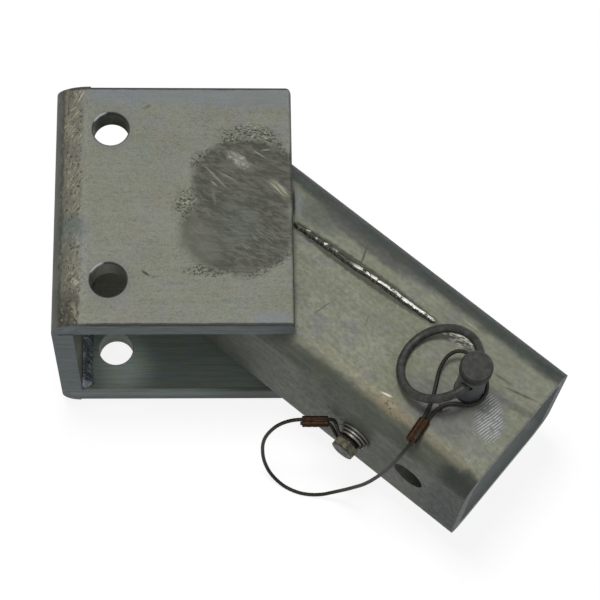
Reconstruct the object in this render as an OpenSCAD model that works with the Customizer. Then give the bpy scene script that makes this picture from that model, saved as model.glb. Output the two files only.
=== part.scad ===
// Bumper hitch receiver: a welded plate bracket that carries a square receiver tube at an
// angle, with a headed drop pin, its pull ring and a wire lanyard bolted to the tube.
// Millimetres, +Z up. X runs along the tube to its open end. The origin is on the front
// bolt hole's axis, at the underside.

/* [Bracket] */
// Length of the plates, from the end plate's outer face to the open edge
plate_len = 107.95; // [100:0.05:130]
// Depth of the plates, front edge to back edge
plate_dep = 117.475; // [112:0.025:135]
// Thickness of the top and bottom plates
plate_thick = 12.7; // [10:0.1:16]
// Thickness of the end plate
end_thick = 9.525; // [8:0.025:12.7]
// Radius that breaks the plates' open edges
edge_round = 1.4; // [0.5:0.1:2.5]
// Radius of the top plate's back right corner, seen from above
corner_round = 3.6; // [1:0.1:6]

/* [Bolt holes] */
// Diameter of the two bolt holes
bolt_hole_d = 16.4; // [13:0.1:20]
// Distance of the bolt holes from the end plate's outer face
bolt_inset_x = 25.4; // [23:0.1:30]
// Distance of each bolt hole from its own edge of the plate
bolt_inset_y = 21.6; // [18:0.1:26]
// Break on the bolt holes' rims
hole_break = 0.4; // [0.2:0.1:1]

/* [Corner welds] */
// Width of the dressed weld along the top corner
top_weld_w = 16; // [12:0.5:18]
// Height of the dressed weld along the top corner
top_weld_h = 10; // [6:0.5:9.5]
// Width of the dressed weld along the bottom corner
bottom_weld_w = 8.5; // [5:0.5:12]
// Height of the dressed weld along the bottom corner
bottom_weld_h = 9.5; // [6:0.5:9.5]
// Land left under each weld where the plate's bevel ends
weld_land = 2.5; // [1:0.5:4]
// Leg of the fillet weld inside the bottom corner
fillet_leg = 5.5; // [3:0.5:8]

/* [Receiver tube] */
// Outer size of the square tube
tube_size = 76.2; // [70:0.1:82]
// Wall thickness of the tube
tube_wall = 6.35; // [4.5:0.05:8]
// Outer radius of the tube's corners
tube_corner = 12.7; // [9:0.1:14]
// Angle of the tube away from the plates' length, seen from above
tube_turn = 40.5; // [38:0.5:43]
// Distance from the front edge to where the tube's axis crosses the open edge
tube_cross = 40; // [36:0.5:44]
// Reach of the tube along its axis, from the open edge to its open end
tube_reach = 130.7; // [124:0.1:138]
// Length of the tube's axis behind the open edge, between the plates
tube_tail = 59.8; // [54:0.1:62]

/* [Seam weld] */
// Distance of the seam from the middle of the tube's top where the bead starts
seam_off = 15.6; // [12:0.1:18]
// How much nearer the middle the bead ends
seam_drift = 3.9; // [0:0.1:5]
// Distance from the open end to where the raised bead starts
seam_start = 60; // [50:1:75]
// Gap between the raised bead's end and the plate's edge
seam_gap = 1.2; // [1.2:0.1:8]
// Height of the bead above the tube
bead_h = 1.0; // [0.6:0.1:1.6]
// Width of the bead
bead_w = 3.8; // [3:0.1:6]
// Spacing of the bead's ripples
ripple_step = 2.4; // [1.8:0.1:4]

/* [Pin and ring] */
// Distance of the pin holes from the tube's open end
pin_station = 29.2; // [24:0.1:34]
// Diameter of the pin's shank
pin_d = 12.7; // [11:0.1:13.5]
// Radial play of the pin in the tube's two holes
pin_play = 0.35; // [0.3:0.05:0.6]
// Diameter of the pin's head
head_d = 14.6; // [14.2:0.1:17]
// Height of the pin's head
head_h = 5; // [4:0.1:5.5]
// Height of the pin's top above the tube
pin_stand = 30.8; // [29:0.1:34]
// Depth of the cross hole's axis under the pin's top
eye_depth = 12.2; // [10.6:0.1:12.6]
// Turn of the pin's cross hole from the tube's length
pin_turn = -82.5; // [-88:0.5:-76]
// Wire diameter of the pull ring
ring_wire = 4; // [3.4:0.1:4.2]
// Radius of the pull ring to the middle of its wire
ring_r = 18.4; // [17:0.1:20]
// Diameter of the cross hole that the ring hangs in
eye_d = 5.6; // [5.4:0.1:6]
// Gap between the leaning ring and the tube
ring_gap = 0.1; // [0.1:0.05:0.3]
// Gap between the pin's tip and the surface that the bracket stands on
tip_gap = 0.3; // [0.2:0.1:1]

/* [Cross hole] */
// Diameter of the hole across the tube's two side walls
cross_hole_d = 15.9; // [12:0.1:18]
// Height of the cross hole and the anchor bolt above the tube's middle
cross_rise = 2; // [0:0.5:4]

/* [Anchor bolt] */
// Distance of the anchor bolt from the tube's open end
anchor_station = 59.6; // [57:0.1:63]
// Diameter of the anchor bolt's shank
anchor_d = 6.35; // [5:0.05:6.4]
// Size across the flats of the anchor bolt's head
anchor_flats = 11.1; // [10:0.1:13]
// Height of the anchor bolt's head
anchor_head = 4.1; // [3:0.1:5]
// Turn of the hexagon about the bolt's axis
anchor_turn = 20; // [0:1:60]
// Diameter of the large washer against the tube
large_washer_d = 16; // [14:0.1:18]
// Thickness of the large washer
large_washer_t = 1.6; // [1:0.1:2]
// Diameter of the small washer
small_washer_d = 14; // [12:0.1:16]
// Thickness of the small washer
small_washer_t = 1.2; // [0.8:0.1:1.8]
// Diameter of the split lock washer
lock_washer_d = 12.2; // [11:0.1:13]
// Thickness of the split lock washer
lock_washer_t = 1.6; // [1:0.1:2]
// Radial play of the washers on the bolt
washer_play = 0.35; // [0.1:0.05:0.5]

/* [Lanyard] */
// Diameter of the wire rope
rope_d = 1.8; // [1.4:0.1:2]
// Length of the crimped ferrules
ferrule_len = 12; // [10:0.5:13]
// Width of the ferrules across both strands
ferrule_w = 5.3; // [4.6:0.1:6]
// Thickness of the ferrules
ferrule_t = 3.3; // [2.8:0.1:3.4]

/* [Hidden] */
$fn = 96;

// overlap that makes a cut run clear through a face
over = 1;
// gap between the plates is filled by the tube
clevis_h = tube_size + 2 * plate_thick;
plate_x = -bolt_inset_x;
plate_y = -bolt_inset_y;
bolt_pitch = plate_dep - 2 * bolt_inset_y;
edge_x = plate_len - bolt_inset_x;
cross_y = tube_cross - bolt_inset_y;
tube_half = tube_size / 2;
tube_len = tube_reach + tube_tail;
tube_mid = plate_thick + tube_half;
tube_top = plate_thick + tube_size;
mouth_x = edge_x * cos(tube_turn) - cross_y * sin(tube_turn) + tube_reach;
axis_y = edge_x * sin(tube_turn) + cross_y * cos(tube_turn);
cross_z = tube_mid + cross_rise;
seam_stop = tube_reach + (seam_off - seam_drift) * tan(tube_turn) - seam_gap;
seam_slope = seam_drift / (seam_stop - seam_start);
pin_hole_d = pin_d + 2 * pin_play;
pin_top = tube_top + pin_stand;
eye_z = pin_top - eye_depth;
// the wire's arc wanders half its sagitta to each side of the cross hole's axis
eye_sagitta = ring_r - sqrt(pow(ring_r, 2) - pow(pin_d / 2, 2));
ring_throw = ring_r - eye_sagitta / 2;
ring_lean = asin((eye_z - tube_top - ring_wire / 2 - ring_gap) / (ring_throw + ring_r));
// places along the anchor bolt, outwards from the tube's side wall
small_washer_at = large_washer_t;
lock_washer_at = small_washer_at + small_washer_t;
rope_eye_gap = rope_d + 0.2;
rope_eye_at = lock_washer_at + lock_washer_t + rope_eye_gap / 2;
anchor_head_at = rope_eye_at + rope_eye_gap / 2;
wall_play = 0.025;

// A rounded rectangle with true arcs, its lower left corner at the origin.
module round_rect(w, h, r) {
    translate([r, 0]) square([w - 2 * r, h]);
    translate([0, r]) square([w, h - 2 * r]);
    for (x = [r, w - r], y = [r, h - r]) translate([x, y]) circle(r);
}

// Stands the children on the tube: X runs back from the open end, Y to the anchor's side.
module on_tube() {
    translate([mouth_x, axis_y, 0]) rotate([0, 0, 180]) children();
}

// Stands the children in the bracket's own square, X along the plates' length.
module on_bracket() {
    rotate([0, 0, tube_turn]) children();
}

// Lays a section in X and Z along the plates' whole depth.
module along_depth() {
    translate([plate_x, plate_y + plate_dep, 0]) rotate([90, 0, 0])
        linear_extrude(plate_dep) children();
}

// Points of the dressed corner: a quarter ellipse from the plate's face to the end plate's.
function corner_arc(w, h) = [for (a = [0:9:90]) [w * (1 - sin(90 - a)), h * (1 - sin(a))]];

// Section of a dressed corner weld, drawn for a corner whose plate's face is at Y 0.
module corner_weld_section(w, h) {
    polygon(concat(corner_arc(w, h), [[w, 0], [weld_land, plate_thick], [0, plate_thick]]));
}

// Everything outside the plate's bevel, to be cut off it.
module bevel_waste(w) {
    run = over * (w - weld_land) / plate_thick;
    polygon([[-over, -over], [w + run, -over], [weld_land - run, plate_thick + over],
        [-over, plate_thick + over]]);
}

// One plate before its weld bevel, its underside at Z 0.
module plate_blank(back_corner) {
    intersection() {
        translate([plate_x, plate_y + plate_dep, 0]) rotate([90, 0, 0]) linear_extrude(plate_dep)
            difference() {
                translate([-2 * edge_round, 0])
                    round_rect(plate_len + 2 * edge_round, plate_thick, edge_round);
                translate([-3 * edge_round, -over]) square([3 * edge_round, plate_thick + 2 * over]);
            }
        translate([plate_x, plate_y, 0]) rotate([90, 0, 90]) linear_extrude(plate_len)
            round_rect(plate_dep, plate_thick, edge_round);
        translate([plate_x, plate_y, 0]) linear_extrude(plate_thick) difference() {
            square([plate_len, plate_dep]);
            translate([plate_len - back_corner, plate_dep - back_corner]) difference() {
                square(back_corner + over);
                circle(back_corner);
            }
        }
    }
}

// One bolt hole through a plate, with both rims broken.
module bolt_hole(y) {
    r = bolt_hole_d / 2;
    flare = hole_break + over;
    translate([0, y, -over]) cylinder(plate_thick + 2 * over, r = r);
    translate([0, y, -over]) cylinder(flare, r1 = r + flare, r2 = r);
    translate([0, y, plate_thick - hole_break]) cylinder(flare, r1 = r, r2 = r + flare);
}

module bolt_holes() {
    bolt_hole(0);
    bolt_hole(bolt_pitch);
}

module top_plate() color([0.49, 0.50, 0.45]) on_bracket() difference() {
    translate([0, 0, clevis_h - plate_thick]) difference() {
        plate_blank(corner_round);
        bolt_holes();
    }
    along_depth() translate([0, clevis_h]) mirror([0, 1]) bevel_waste(top_weld_w);
}

module bottom_plate() color([0.47, 0.48, 0.43]) on_bracket() difference() {
    plate_blank(edge_round);
    bolt_holes();
    along_depth() bevel_waste(bottom_weld_w);
}

module end_plate() color([0.40, 0.42, 0.39]) on_bracket()
    translate([plate_x, plate_y, plate_thick]) cube([end_thick, plate_dep, tube_size]);

module corner_weld_top() color([0.42, 0.40, 0.31]) on_bracket()
    along_depth() translate([0, clevis_h]) mirror([0, 1])
        corner_weld_section(top_weld_w, top_weld_h);

module corner_weld_bottom() color([0.36, 0.35, 0.29]) on_bracket()
    along_depth() corner_weld_section(bottom_weld_w, bottom_weld_h);

// The inner fillet: a quarter round bead with a swollen start at the front edge.
module inner_weld() color([0.36, 0.40, 0.46]) {
    glob_r = fillet_leg * 0.75;
    on_bracket() translate([plate_x + end_thick, plate_y, plate_thick]) intersection() {
        union() {
            translate([0, edge_round, 0]) rotate([-90, 0, 0])
                cylinder(plate_dep - 2 * edge_round, r = fillet_leg);
            translate([glob_r * 0.6, glob_r * 0.4 + edge_round, glob_r * 0.4]) sphere(glob_r);
        }
        cube([2 * fillet_leg, plate_dep, 2 * fillet_leg]);
    }
}

// The square tube with its pin holes, cross hole and the anchor bolt's tapped hole.
module receiver_tube() color([0.47, 0.49, 0.45]) on_tube() difference() {
    translate([0, tube_half, plate_thick]) rotate([90, 0, 90]) mirror([1, 0]) linear_extrude(tube_len)
        difference() {
            round_rect(tube_size, tube_size, tube_corner);
            translate([tube_wall, tube_wall])
                round_rect(tube_size - 2 * tube_wall, tube_size - 2 * tube_wall, tube_corner - tube_wall);
        }
    translate([pin_station, 0, 0]) cylinder(tube_top + over, d = pin_hole_d);
    translate([pin_station, -tube_size, cross_z]) rotate([-90, 0, 0])
        cylinder(2 * tube_size, d = cross_hole_d);
    translate([anchor_station, 0, cross_z]) rotate([-90, 0, 0])
        cylinder(tube_size, d = anchor_d + 2 * wall_play);
}

// The tube's long seam: a rippled bead, each ripple a cap of a sphere.
module seam_weld() color([0.62, 0.62, 0.56]) on_tube() {
    cap_r = (pow(bead_w / 2, 2) + pow(bead_h, 2)) / (2 * bead_h);
    difference() {
        for (x = [seam_start:ripple_step:seam_stop - bead_w / 2])
            translate([x, seam_slope * (x - seam_start) - seam_off, tube_top + bead_h - cap_r])
                sphere(cap_r);
        translate([0, -seam_off - bead_w, tube_top - 2 * cap_r])
            cube([seam_stop + over, seam_drift + 2 * bead_w, 2 * cap_r]);
    }
}

// A flare weld in the groove between the tube's far corner and one plate.
module tube_weld(high) {
    groove = tube_corner * 0.75;
    start = tube_reach + tube_half * tan(tube_turn) + 3;
    z = high ? tube_top : plate_thick;
    flip = high ? 1 : 0;
    on_tube() translate([start, -tube_half, z]) mirror([0, 0, flip]) difference() {
        cube([tube_len - start, groove, groove * 0.55]);
        translate([-over, tube_corner, tube_corner]) rotate([0, 90, 0])
            cylinder(tube_len, r = tube_corner);
    }
}

module tube_weld_top() color([0.38, 0.37, 0.32]) tube_weld(true);
module tube_weld_bottom() color([0.38, 0.37, 0.32]) tube_weld(false);

// Sets the children on the anchor bolt's axis, Z outwards from the tube's side wall.
module on_anchor(out) {
    on_tube() translate([anchor_station, tube_half + out, cross_z]) rotate([-90, 0, 0]) children();
}

module ring_washer(d, t) difference() {
    cylinder(t, d = d);
    translate([0, 0, -over]) cylinder(t + 2 * over, d = anchor_d + 2 * washer_play);
}

module large_washer() color([0.45, 0.45, 0.42]) on_anchor(0) ring_washer(large_washer_d, large_washer_t);

module small_washer() color([0.55, 0.55, 0.52])
    on_anchor(small_washer_at) ring_washer(small_washer_d, small_washer_t);

// The lock washer has a slanting split on its outer side.
module lock_washer() color([0.50, 0.50, 0.48]) on_anchor(lock_washer_at) difference() {
    ring_washer(lock_washer_d, lock_washer_t);
    rotate([0, 0, 200]) translate([0, -0.5, -over]) rotate([20, 0, 0])
        cube([lock_washer_d, 1, 3 * lock_washer_t + 2 * over]);
}

// Hexagon head with a turned chamfer, and a shank that ends flush inside the socket.
module anchor_bolt() color([0.43, 0.41, 0.35]) {
    head_r = anchor_flats / 2 / cos(30);
    on_anchor(anchor_head_at) intersection() {
        rotate([0, 0, anchor_turn]) cylinder(anchor_head, r = head_r, $fn = 6);
        cylinder(anchor_head, r1 = anchor_flats / 2 + 1.7 * anchor_head, r2 = anchor_flats / 2 - 0.2);
    }
    on_anchor(-tube_wall) cylinder(anchor_head_at + tube_wall, d = anchor_d);
}

// Pin: chamfered tip, plain shank with the ring's cross hole, and a low round head.
module hitch_pin() color([0.26, 0.26, 0.24]) {
    tip = 1.6;
    rim = 0.7;
    on_tube() translate([pin_station, 0, 0]) difference() {
        rotate_extrude() polygon([[0, tip_gap], [pin_d / 2 - tip, tip_gap], [pin_d / 2, tip_gap + tip],
            [pin_d / 2, pin_top - head_h], [head_d / 2, pin_top - head_h], [head_d / 2, pin_top - rim],
            [head_d / 2 - rim, pin_top], [0, pin_top]]);
        translate([0, 0, eye_z]) rotate([0, 0, pin_turn]) rotate([0, 90, 0])
            cylinder(2 * pin_d, d = eye_d, center = true);
    }
}

// The pull ring hangs in the cross hole and leans back on the tube.
module pull_ring() color([0.25, 0.25, 0.23])
    on_tube() translate([pin_station, 0, eye_z]) rotate([0, 0, pin_turn]) rotate([-ring_lean, 0, 0])
        translate([0, ring_throw, 0]) rotate_extrude() translate([ring_r, 0]) circle(d = ring_wire);

// Wire rope, in the tube's own frame: back from the open end, out to the anchor's side, up.
// Points near the anchor are measured from its bolt, those on top from the pin's foot.
anchor_foot = [anchor_station, tube_half, cross_z];
floor_foot = [anchor_station, tube_half, 0];
pin_foot = [pin_station, 0, tube_top];
function moved(points, by) = [for (p = points) p + by];
// Place and turn of each ferrule's mouth
bolt_ferrule_at = anchor_foot + [13.4, 3.7, 1.2];
bolt_ferrule_turn = 40.2;
pin_ferrule_at = pin_foot + [5.8, 24.2, ferrule_t / 2 + 0.05];
pin_ferrule_turn = 96;
// Dead end, first ferrule, and on to the anchor bolt
rope_a = [[22.6, 12.7, 1.2], [12.8, 4.4, 1.2], [10.8, 4.4, 0.2], [8.4, 5, -1.5], [5.8, 5.4, -3]];
// From the anchor bolt back through the first ferrule
rope_b = [[6, 5.4, 3.4], [8.6, 3.7, 3.9], [11, 2.2, 3], [13.1, 2.3, 1.5], [14, 3, 1.2],
    [23.2, 10.7, 1.2]];
// Free stretch, down to the surface and up the tube's side to the second ferrule
rope_free = [[26.4, 13.3, 52.5], [28.9, 15.5, 50], [31.4, 17.9, 45.5], [33.2, 20.4, 40],
    [34.2, 22.7, 34], [34.2, 24.3, 28], [33.1, 25.7, 21.5], [31.4, 26.7, 15.5], [29.2, 27.3, 10.5],
    [26.2, 27.7, 6.3], [22.4, 27.7, 3.2], [18, 27.3, 1.4], [13.4, 26.3, 1], [8.8, 24.5, 1],
    [4.6, 22, 1.6], [0.8, 19.3, 3.6], [-2.7, 16.7, 7.6], [-5.6, 14.9, 12.2], [-8.3, 13.7, 17.6],
    [-11.2, 12.5, 24.2], [-14.1, 11.5, 31.4], [-16.8, 10.4, 39.5], [-19.4, 8.9, 49],
    [-21.7, 7.4, 59], [-23.5, 6.2, 68.5], [-24.7, 4.9, 76], [-25.5, 3.3, 82.6],
    [-26.3, 0.9, 87.8]];
// Second ferrule and along the tube's top to the pin
rope_c = [[3.6, 36, 1.7], [4.85, 24.1, 1.7], [5, 20, 1.1], [4.6, 16, 1], [3.2, 12.4, 1.1],
    [0.8, 9.8, 1.4], [-2.2, 8, 1.7], [-4.8, 6.3, 2.1]];
// From the pin in a wide bight back to the second ferrule and its dead end
rope_bight = [[3.8, -8.8, 8.6], [7.8, -9.8, 8.7], [11.4, -9.8, 8.3], [14.2, -8, 7.3],
    [15.8, -4.8, 5.7], [15.8, -0.8, 4], [14.7, 3.2, 2.5], [12.8, 7, 1.4], [10.6, 11.5, 1],
    [8.8, 16, 1], [7.6, 20.2, 1.2], [6.75, 24.3, 1.7], [5.4, 37, 1.7]];

// Ring of the rope round the anchor bolt, under it first and back over the top.
rope_r = rope_d / 2;
anchor_turn_r = anchor_d / 2 + rope_r + 0.2;
anchor_loop = [for (a = [-72:-24:-288]) [anchor_station + anchor_turn_r * cos(a), tube_half + rope_eye_at,
    cross_z + anchor_turn_r * sin(a)]];
// Ring of the rope round the pin, climbing from the tube's top to the pin's far side.
pin_turn_r = pin_d / 2 + rope_r + 0.45;
pin_loop = [for (a = [150:24:270]) [pin_station + pin_turn_r * cos(a), pin_turn_r * sin(a),
    tube_top + rope_r + 0.1 + 7.5 * pow((a - 66) / 204, 2)]];
rope_route = concat(moved(rope_a, anchor_foot), anchor_loop, moved(rope_b, anchor_foot),
    moved(rope_free, floor_foot), moved(rope_c, pin_foot), pin_loop, moved(rope_bight, pin_foot));

function unit(v) = v / norm(v);
// Direction of the route at point i, and a frame carried along it without twisting.
function heading(p, i) = unit(p[min(i + 1, len(p) - 1)] - p[max(i - 1, 0)]);
function carried(n, t) = unit(n - (n * t) * t);
function normals(p) = [for (i = 0, n = carried([0.3, 0.2, 1], heading(p, 0)); i < len(p);
    i = i + 1, n = carried(n, heading(p, min(i, len(p) - 1)))) n];

// A round tube through the points of a route, closed at both ends.
module swept_rope(p, r, sides) {
    n = normals(p);
    rings = [for (i = [0:len(p) - 1]) let (t = heading(p, i), b = cross(t, n[i]))
        for (k = [0:sides - 1]) p[i] + r * (cos(360 * k / sides) * n[i] + sin(360 * k / sides) * b)];
    walls = [for (i = [0:len(p) - 2], k = [0:sides - 1]) let (a = i * sides + k,
        b = i * sides + (k + 1) % sides) each [[a, b, b + sides], [a, b + sides, a + sides]]];
    first = [for (k = [sides - 1:-1:0]) k];
    last = [for (k = [0:sides - 1]) (len(p) - 1) * sides + k];
    polyhedron(points = rings, faces = concat([first], walls, [last]));
}

module lanyard_rope() color([0.28, 0.25, 0.20]) on_tube() swept_rope(rope_route, rope_r, 8);

// An oval sleeve crimped over two strands, its axis along X from the origin.
module ferrule() {
    rotate([90, 0, 90]) linear_extrude(ferrule_len) union() {
        square([ferrule_w - ferrule_t, ferrule_t], center = true);
        for (x = [-1, 1]) translate([x * (ferrule_w - ferrule_t) / 2, 0]) circle(d = ferrule_t);
    }
}

module bolt_ferrule() color([0.33, 0.18, 0.12])
    on_tube() translate(bolt_ferrule_at) rotate([0, 0, bolt_ferrule_turn]) ferrule();

module pin_ferrule() color([0.36, 0.16, 0.12])
    on_tube() translate(pin_ferrule_at) rotate([0, 0, pin_ferrule_turn]) ferrule();

top_plate();
bottom_plate();
end_plate();
corner_weld_top();
corner_weld_bottom();
inner_weld();
receiver_tube();
seam_weld();
tube_weld_top();
tube_weld_bottom();
anchor_bolt();
large_washer();
small_washer();
lock_washer();
lanyard_rope();
bolt_ferrule();
pin_ferrule();
hitch_pin();
pull_ring();
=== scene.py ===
"""Looks of the bumper hitch receiver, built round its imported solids.

Everything is in metres in the part's own frame: X along the receiver tube towards its open
end, Z up, and the origin on the front bolt hole's axis at the underside.
"""
import logging
import math
from dataclasses import dataclass, field
from enum import Enum

import bpy
import numpy as np
from mathutils import Matrix, Vector


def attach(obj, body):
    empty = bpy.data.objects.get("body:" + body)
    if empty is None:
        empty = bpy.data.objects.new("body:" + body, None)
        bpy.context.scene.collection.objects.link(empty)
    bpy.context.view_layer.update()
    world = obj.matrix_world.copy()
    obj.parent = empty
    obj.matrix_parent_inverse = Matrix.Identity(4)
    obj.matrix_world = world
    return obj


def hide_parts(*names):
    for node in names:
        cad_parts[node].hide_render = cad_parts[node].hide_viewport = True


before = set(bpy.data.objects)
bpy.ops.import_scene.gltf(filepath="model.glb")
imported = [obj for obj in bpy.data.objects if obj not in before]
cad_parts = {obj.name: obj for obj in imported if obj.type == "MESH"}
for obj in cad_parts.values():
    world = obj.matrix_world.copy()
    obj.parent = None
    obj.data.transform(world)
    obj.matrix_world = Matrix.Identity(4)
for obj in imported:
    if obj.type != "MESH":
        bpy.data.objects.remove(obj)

LOG = logging.getLogger("hitch_receiver")
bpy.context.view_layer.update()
MM = 0.001
TUBE_TURN = math.radians(40.5)
BOLT_INSET = (25.4, 21.6)
PLATE = (107.95, 117.475)
PLATE_TOP = 101.6
MOUTH = (181.522, 67.602)
TUBE_TOP = 88.9
WASHER_FACES = (29.5, 27.9, 26.7, 25.1)
HEAD_END = 19.0

Tree = bpy.types.NodeTree
Socket = bpy.types.NodeSocket


def srgb(code: str) -> tuple[float, float, float, float]:
    """Turns an sRGB hex colour to linear values.

    Args:
        code: Six hex digits, red, green and blue.

    Returns:
        Linear red, green, blue and an alpha of 1.
    """
    part = [int(code[i:i + 2], 16) / 255 for i in (0, 2, 4)]
    line = [c / 12.92 if c <= 0.04045 else ((c + 0.055) / 1.055) ** 2.4 for c in part]
    return (*line, 1.0)


def add(tree: Tree, kind: str, inputs: dict | None = None, output: int | str = 0,
        **settings: object) -> Socket:
    """Adds one node with its settings, values and links.

    Args:
        tree: The material's node tree.
        kind: The node's type without its ShaderNode prefix.
        inputs: Value or linked socket for each input, by name or number.
        output: Which output to hand back.
        **settings: The node's own settings.

    Returns:
        The chosen output socket, or nothing for a node without outputs.
    """
    made = tree.nodes.new("ShaderNode" + kind)
    for name, value in settings.items():
        setattr(made, name, value)
    for key, value in (inputs or {}).items():
        if isinstance(value, Socket):
            tree.links.new(value, made.inputs[key])
        else:
            made.inputs[key].default_value = value
    return made.outputs[output] if made.outputs else None


class Square(Enum):
    """Which square a pattern is laid out in: turn about Z, and shift after it, in mm.

    BRACKET starts at the plates' front left corner, X along their length. TUBE starts at the
    middle of the tube's open end, X back along the tube, Y towards the anchor bolt.
    """

    PART = (0.0, (0.0, 0.0, 0.0))
    BRACKET = (-TUBE_TURN, (BOLT_INSET[0], BOLT_INSET[1], 0.0))
    TUBE = (math.pi, (MOUTH[0], MOUTH[1], 0.0))


def place(tree: Tree, square: Square) -> Socket:
    """Object coordinates in millimetres, laid out in one of the part's squares.

    Args:
        tree: The material's node tree.
        square: The square whose corner and turn the pattern follows.

    Returns:
        The vector socket.
    """
    turn, shift = square.value
    here = add(tree, "TexCoord", output="Object")
    return add(tree, "Mapping", {0: here, "Location": shift, "Rotation": (0, 0, turn),
                                 "Scale": (1000, 1000, 1000)})


def wander(tree: Tree, at: Socket, grain: float, reach: float) -> Socket:
    """Shifts each place by coloured noise, so that straight borders drawn on it go ragged.

    Args:
        tree: The material's node tree.
        at: Place in mm.
        grain: Size of the noise, in mm.
        reach: About how far a place may move, in mm.

    Returns:
        The shifted place.
    """
    laid = add(tree, "Mapping", {0: at, "Scale": (grain,) * 3}, vector_type="TEXTURE")
    noise = add(tree, "TexNoise", {"Vector": laid, "Scale": 1.0, "Detail": 3.0}, output="Color")
    swing = add(tree, "VectorMath", {0: noise, 1: (0.5,) * 3}, operation="SUBTRACT")
    return add(tree, "VectorMath", {0: swing, 1: (4 * reach,) * 3, 2: at}, operation="MULTIPLY_ADD")


def clouds(tree: Tree, at: Socket, size: tuple[float, float, float], low: float, high: float,
           turn: float = 0.0, detail: float = 3.0) -> Socket:
    """Cloudy patches: smooth noise stretched to a size, then cut between two levels.

    Args:
        tree: The material's node tree.
        at: Place in mm.
        size: Size of a patch along, across and up, in mm.
        low: Noise level that gives 0.
        high: Noise level that gives 1.
        turn: Turn of the patches about Z, in degrees.
        detail: Number of finer layers.

    Returns:
        A socket from 0 to 1.
    """
    laid = add(tree, "Mapping", {0: at, "Rotation": (0, 0, math.radians(turn)), "Scale": size},
               vector_type="TEXTURE")
    noise = add(tree, "TexNoise", {"Vector": laid, "Scale": 1.0, "Detail": detail, "Roughness": 0.6})
    return add(tree, "MapRange", {0: noise, 1: low, 2: high}, interpolation_type="SMOOTHSTEP")


def spot(tree: Tree, at: Socket, centre: tuple[float, float], half: tuple[float, float],
         turn: float = 0.0, soft: float = 0.2) -> Socket:
    """An oval spot: 1 inside, 0 outside.

    Distance is the length of the place from the centre, divided by the half sizes.

    Args:
        tree: The material's node tree.
        at: Place in mm.
        centre: Middle of the oval, in mm.
        half: Half sizes along and across, in mm.
        turn: Turn of the oval, in degrees.
        soft: Width of the fading rim to each side, as a share of the half size.

    Returns:
        A socket from 0 to 1.
    """
    laid = add(tree, "Mapping", {0: at, "Location": (*centre, 0), "Rotation": (0, 0, math.radians(turn)),
                                 "Scale": (*half, 1e4)}, vector_type="TEXTURE")
    far = add(tree, "VectorMath", {0: laid}, output="Value", operation="LENGTH")
    return add(tree, "MapRange", {0: far, 1: 1 + soft, 2: 1 - soft}, interpolation_type="SMOOTHSTEP")


def strip(tree: Tree, at: Socket, axis: str, start: float, end: float, soft: float) -> Socket:
    """A strip between two places on one axis: 1 inside, 0 outside.

    Args:
        tree: The material's node tree.
        at: Place in mm.
        axis: X, Y or Z.
        start: Where it starts, in mm.
        end: Where it ends, in mm.
        soft: Width of the fading edge to each side, in mm.

    Returns:
        A socket from 0 to 1.
    """
    here = add(tree, "SeparateXYZ", {0: at}, output=axis)
    rise = add(tree, "MapRange", {0: here, 1: start - soft, 2: start + soft},
               interpolation_type="SMOOTHSTEP")
    fall = add(tree, "MapRange", {0: here, 1: end + soft, 2: end - soft},
               interpolation_type="SMOOTHSTEP")
    return add(tree, "Math", {0: rise, 1: fall}, operation="MULTIPLY")


def weigh(tree: Tree, share: float, masks: tuple[Socket, ...]) -> Socket:
    """A layer's weight: its share times each of its masks."""
    total: Socket | float = share
    for mask in masks:
        total = add(tree, "Math", {0: total, 1: mask}, operation="MULTIPLY")
    return total


def paint(tree: Tree, base: str | Socket, coats: list[tuple]) -> Socket:
    """Lays thin coats of colour over a base, in order.

    Args:
        tree: The material's node tree.
        base: Hex colour or socket under all of them.
        coats: For each coat its colour, its share from 0 to 1, and masks of where it lies.

    Returns:
        The colour socket.
    """
    result = srgb(base) if isinstance(base, str) else base
    for colour, share, *masks in coats:
        top = srgb(colour) if isinstance(colour, str) else colour
        result = add(tree, "Mix", {0: weigh(tree, share, tuple(masks)), 6: result, 7: top},
                     output=2, data_type="RGBA")
    return result


def relief(tree: Tree, marks: list[tuple]) -> Socket:
    """Adds up heights in mm, each a depth times its masks.

    Args:
        tree: The material's node tree.
        marks: For each mark its height in mm and masks of where it lies.

    Returns:
        The height socket.
    """
    total: Socket | float = 0.0
    for tall, *masks in marks:
        total = add(tree, "Math", {0: total, 1: weigh(tree, tall, tuple(masks))}, operation="ADD")
    return total


@dataclass(frozen=True)
class Finish:
    """What every finish has: its name, and the shader numbers that are the same all over."""

    name: str
    metallic: float = 0.25
    specular: float = 0.35

    def layers(self, tree: Tree) -> tuple[object, object, object]:
        """Colour, roughness and height in mm, worked out by each finish."""
        raise NotImplementedError

    def make(self) -> bpy.types.Material:
        """Builds the material.

        Returns:
            A material whose colour, roughness and bump come from the finish's layers.
        """
        material = bpy.data.materials.new(self.name)
        material.use_nodes = True
        tree = material.node_tree
        tree.nodes.clear()
        colour, rough, height = self.layers(tree)
        bump = add(tree, "Bump", {"Height": height, "Distance": MM, "Strength": 1.0}, output="Normal")
        shader = add(tree, "BsdfPrincipled", {
            "Base Color": colour, "Roughness": rough, "Normal": bump, "Metallic": self.metallic,
            "Specular IOR Level": self.specular})
        add(tree, "OutputMaterial", {0: shader})
        return material


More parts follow.
